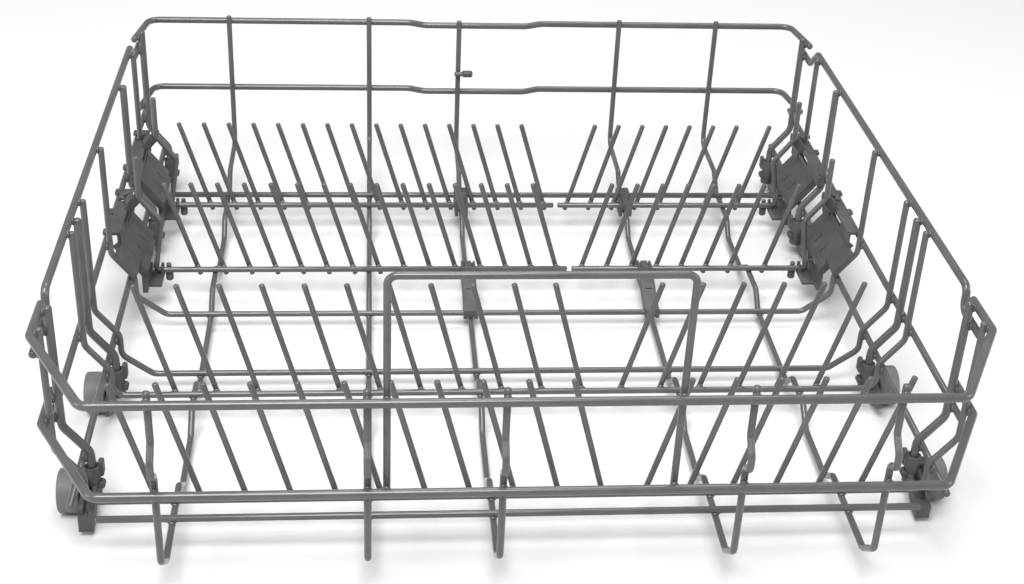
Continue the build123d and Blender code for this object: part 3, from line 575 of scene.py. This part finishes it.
bm = bmesh.new()
along, across_wall, up = (0, 1, 0), (1, 0, 0), (0, 0, 1)
for z in (rim_z, belt_z):
    for x in (*long_x, *handle_ends):
        add_fillet(bm, (x, front_y + heavy / 2, z), along)
for z in (rear_rim_z, rear_belt_z):
    for x in long_x:
        inset = set_in if abs(x) < set_in_half else 0
        add_fillet(bm, (x, rear_y - inset - rim / 2, z), along)
for x in long_x:
    for depth in (*rod_depths.values(), *raised_depths.values()):
        add_fillet(bm, (x, front_y + depth, hump_z + thin / 2), up)
    for depth in dropped_depths.values():
        add_fillet(bm, (x, front_y + depth, floor_z + thin / 2), up)
front_wall = (joggle_z, rim_z, belt_z)
plain_wall = (side_z, mid_z)
rear_wall = (joggle_z, rear_rim_z, rear_belt_z, mid_z)
for side in (-1, 1):
    for depth, heights in (
        (raised_depths["cross_wire_front"], front_wall),
        (post_depths["front"], (*front_wall, mid_z)),
        (raised_depths["cross_wire_tines"], plain_wall),
        (post_depths["mid_front"], plain_wall),
        (dropped_depths["cross_wire_middle"], plain_wall),
        (dropped_depths["cross_wire_rear"], plain_wall),
        (post_depths["mid_rear"], plain_wall),
        (upright_depth, plain_wall),
        (post_depths["rear"], rear_wall),
    ):
        for z in heights:
            add_fillet(bm, (side * wall_half, front_y + depth, z), across_wall)
        if depth != upright_depth:
            add_fillet(bm, (side * low_half, front_y + depth, low_z), across_wall)
for depth in fixed_rows.values():
    for x in fixed_x:
        add_fillet(bm, (x, front_y + depth + thin / 2, raised_z), along)
finish_piece(bm, "weld_fillets_frame", wire_coat, "coated_wire", "frame")

for node, depth, side, bases in rows:
    bm = bmesh.new()
    for base in bases:
        add_fillet(bm, (base, front_y + depth + thin / 2, row_z), along)
    finish_piece(bm, "weld_fillets_" + node, wire_coat, "coated_wire", node)


# Brackets, clips, holders and rollers: injection mouldings in dark grey.
# Their solids are shown as merged copies with rounded edges, as the tool leaves them.
bracket_plastic = skin_finish(
    "bracket_plastic",
    dark=(0.052, 0.052, 0.055),
    light=(0.074, 0.074, 0.078),
    gloss=(0.44, 0.58),
    patch=90,
    speck=1800,
    pebble=0.04 * mm,
)
holder_plastic = skin_finish(
    "holder_plastic",
    dark=(0.054, 0.052, 0.052),
    light=(0.076, 0.073, 0.072),
    gloss=(0.44, 0.58),
    patch=90,
    speck=1800,
    pebble=0.04 * mm,
)
roller_plastic = skin_finish(
    "roller_plastic",
    dark=(0.120, 0.120, 0.128),
    light=(0.155, 0.155, 0.165),
    gloss=(0.45, 0.60),
    patch=90,
    speck=1800,
    pebble=0.05 * mm,
)


def soften(node, finish, slot, body, width):
    """Shows a moulding as a merged copy of its solid with its sharp edges rounded over."""
    bm = bmesh.new()
    bm.from_mesh(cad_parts[node].data)
    merge_gap = 0.002 * mm
    bmesh.ops.remove_doubles(bm, verts=bm.verts[:], dist=merge_gap)
    piece = finish_piece(bm, "moulding_" + node, finish, slot, body, node)
    edges = piece.modifiers.new("rounded_edges", "BEVEL")
    edges.width = width
    edges.segments = 3
    edges.limit_method = "ANGLE"
    edges.angle_limit = radians(38)
    edges.use_clamp_overlap = False
    edges.harden_normals = True


moulded_edge = 0.35 * mm
roller_edge = 0.60 * mm
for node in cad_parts:
    words = node.split("_")
    if "bracket" in words or "clip" in words:
        soften(node, bracket_plastic, "bracket_plastic", "frame", moulded_edge)
    elif "holders" in words:
        soften(node, holder_plastic, "holder_plastic", "frame", moulded_edge)
    elif "roller" in words:
        soften(node, roller_plastic, "roller_plastic", node, roller_edge)


# Studio: a pale floor, soft light from above and the sides, and the camera of the photograph.
floor_half = 6.0
paper_tone = 0.66
sky_strength = 0.30
floor_mesh = bpy.data.meshes.new("studio_floor")
bm = bmesh.new()
bmesh.ops.create_grid(bm, x_segments=1, y_segments=1, size=floor_half)
bm.to_mesh(floor_mesh)
bm.free()
floor = bpy.data.objects.new("studio_floor", floor_mesh)
bpy.context.scene.collection.objects.link(floor)
paper = bpy.data.materials.new("studio_paper")
paper.use_nodes = True
paper_shader = paper.node_tree.nodes["Principled BSDF"]
paper_shader.inputs["Base Color"].default_value = (paper_tone, paper_tone, paper_tone, 1)
paper_shader.inputs["Roughness"].default_value = 0.9
floor_mesh.materials.append(paper)

world = bpy.data.worlds.new("studio_world")
world.use_nodes = True
sky = world.node_tree.nodes["Background"]
sky.inputs["Color"].default_value = (1, 1, 1, 1)
sky.inputs["Strength"].default_value = sky_strength
bpy.context.scene.world = world
bpy.context.scene.view_settings.view_transform = "Standard"

lit_point = Vector((0, 0, 0.05))
for name, place, size, power in (
    ("key_light", (-0.35, -0.95, 1.9), 1.1, 54),
    ("top_light", (0.2, 0.7, 2.0), 1.0, 20),
    ("left_light", (-1.9, -0.6, 0.9), 0.9, 12),
    ("right_light", (1.9, -0.6, 0.9), 0.9, 12),
):
    lamp = bpy.data.lights.new(name, "AREA")
    lamp.size = size
    lamp.energy = power
    light = bpy.data.objects.new(name, lamp)
    light.location = place
    toward = lit_point - Vector(place)
    light.rotation_euler = toward.to_track_quat("-Z", "Y").to_euler()
    bpy.context.scene.collection.objects.link(light)

camera_place = (-0.07995, -0.89748, 0.58220)
yaw, pitch, roll = 0.10099, 0.51997, 0.04825
ahead = Vector((sin(yaw) * cos(pitch), cos(yaw) * cos(pitch), -sin(pitch)))
level = Vector((cos(yaw), -sin(yaw), 0))
above = level.cross(ahead)
across = cos(roll) * level + sin(roll) * above
upward = -sin(roll) * level + cos(roll) * above
lens = bpy.data.cameras.new("photo_camera")
lens.sensor_width = 36
lens.lens = 54.802
lens.shift_x = 0.00071
lens.shift_y = -0.03028
lens.clip_start = 0.01
camera = bpy.data.objects.new("photo_camera", lens)
turned = Matrix((across, upward, -ahead)).transposed().to_4x4()
camera.matrix_world = Matrix.Translation(camera_place) @ turned
bpy.context.scene.collection.objects.link(camera)
bpy.context.scene.camera = camera
